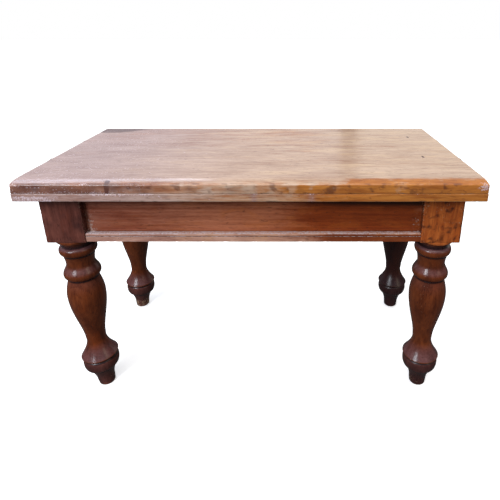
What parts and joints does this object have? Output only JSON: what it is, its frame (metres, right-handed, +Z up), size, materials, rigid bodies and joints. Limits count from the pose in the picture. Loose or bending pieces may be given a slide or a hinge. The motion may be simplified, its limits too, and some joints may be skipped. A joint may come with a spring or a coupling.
{
  "type": "communion table",
  "caption": "Stout wooden communion table with a thick boarded top, a recessed frieze with a strip below it, and baluster-turned legs under square blocks.",
  "frame": {"origin": "on the floor, under the middle of the top", "axes": "+X along the table's length, -Y towards the front, +Z up"},
  "size_m": [1.21, 0.632, 0.73],
  "materials": {
    "top_wood": "worn and faded varnish, semi-gloss, on the top boards",
    "edge_wood": "scuffed varnish on the top's edge",
    "leg_wood": "dark red-brown varnish, glossy, rubbed at the edges",
    "frieze_wood": "red-brown varnish, semi-gloss, worn at its ends",
    "inner_wood": "bare pine, aged",
    "iron": "dull dark iron"
  },
  "bodies": {
    "root": {"board_front": "top_wood", "board_middle": "top_wood", "board_back": "top_wood", "tongue_front": "inner_wood", "tongue_back": "inner_wood", "lining_front": "edge_wood", "lining_back": "edge_wood", "lining_left": "edge_wood", "lining_right": "edge_wood", "leg_front_left": "leg_wood", "leg_front_right": "leg_wood", "leg_back_left": "leg_wood", "leg_back_right": "leg_wood", "frieze_front": "frieze_wood", "frieze_back": "frieze_wood", "frieze_left": "frieze_wood", "frieze_right": "frieze_wood", "strip_front": "frieze_wood", "strip_back": "frieze_wood", "strip_left": "frieze_wood", "strip_right": "frieze_wood", "centre_bearer": "inner_wood", "button_front_left": "inner_wood", "button_front_right": "inner_wood", "button_back_left": "inner_wood", "button_back_right": "inner_wood", "button_left": "inner_wood", "button_right": "inner_wood", "button_screws": "iron", "bearer_screws": "iron", "lining_screws": "iron", "strip_brads": "iron", "top_nails": "iron"}
  },
  "joints": []
}
